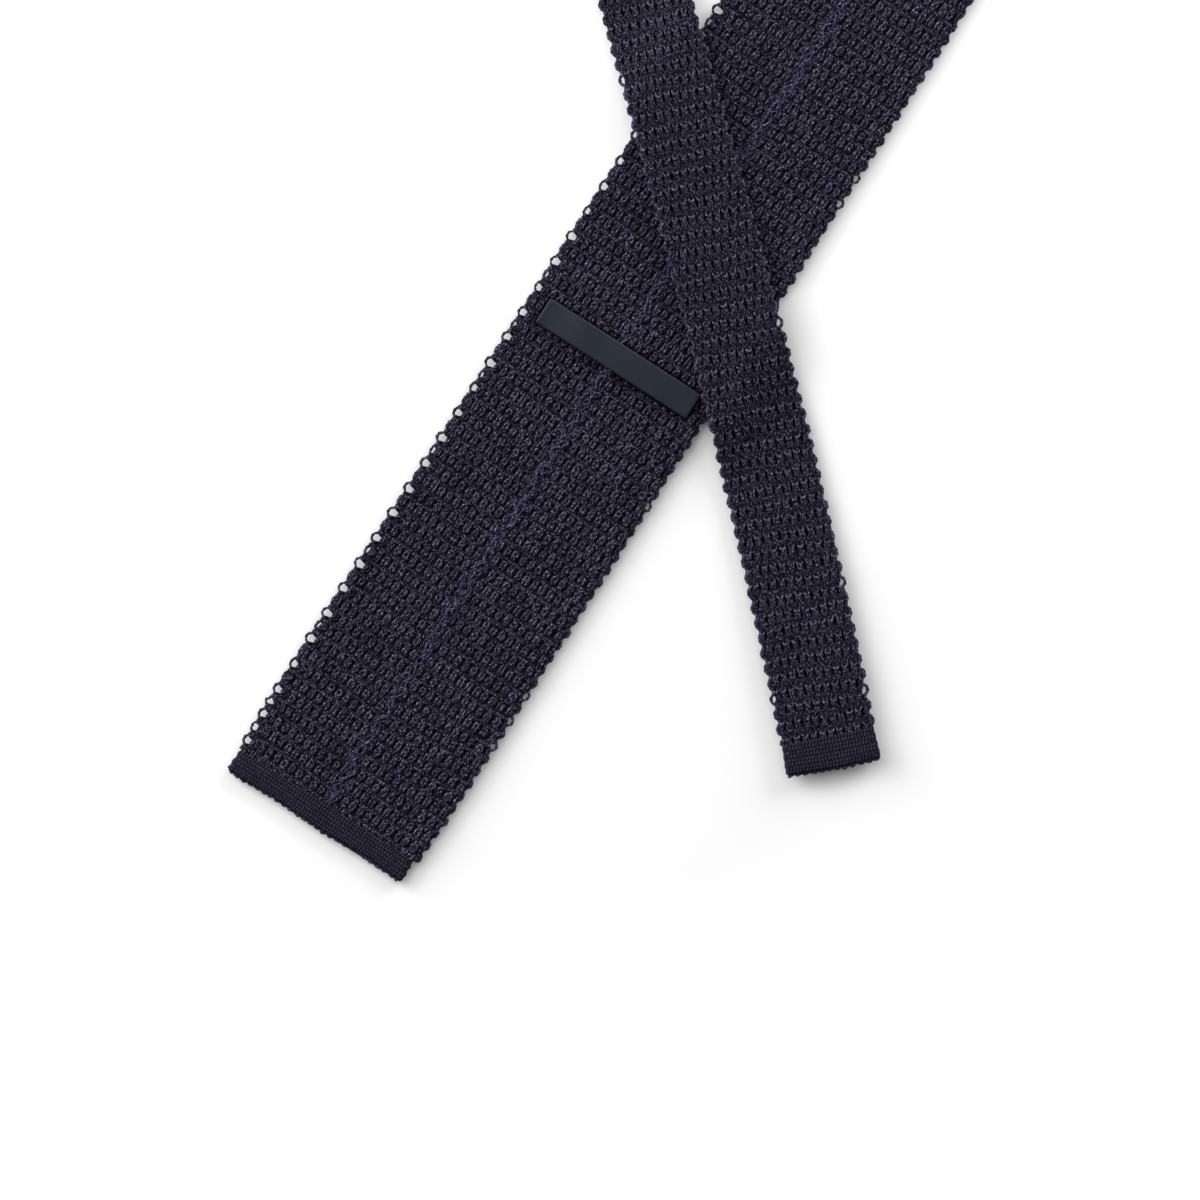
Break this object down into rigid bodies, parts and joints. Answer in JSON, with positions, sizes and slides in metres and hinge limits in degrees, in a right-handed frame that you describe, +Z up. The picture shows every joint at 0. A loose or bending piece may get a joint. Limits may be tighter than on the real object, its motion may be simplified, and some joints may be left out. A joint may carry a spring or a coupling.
{
  "type": "knit tie",
  "caption": "Square-ended knitted silk necktie lying loose in a loop, back side up, with its narrow end laid across the wide one.",
  "frame": {"origin": "middle of the tie's outline, on the surface that it lies on", "axes": "+Z up from the surface, +Y along the loop from the two ends towards the turn at its top, +X to the right seen from above"},
  "size_m": [0.2774, 0.7124, 0.01],
  "materials": {
    "knit": "crunchy silk knit, midnight blue with a soft sheen",
    "hem": "fine dense silk knit, midnight blue",
    "seam": "linked silk stitches, midnight blue",
    "ribbon": "smooth satin ribbon, dark slate blue"
  },
  "bodies": {
    "root": {"blade": "knit", "neck_band": "knit", "tail": "knit", "back_seam": "seam", "blade_hem": "hem", "tail_hem": "hem", "keeper_loop": "ribbon"}
  },
  "joints": []
}
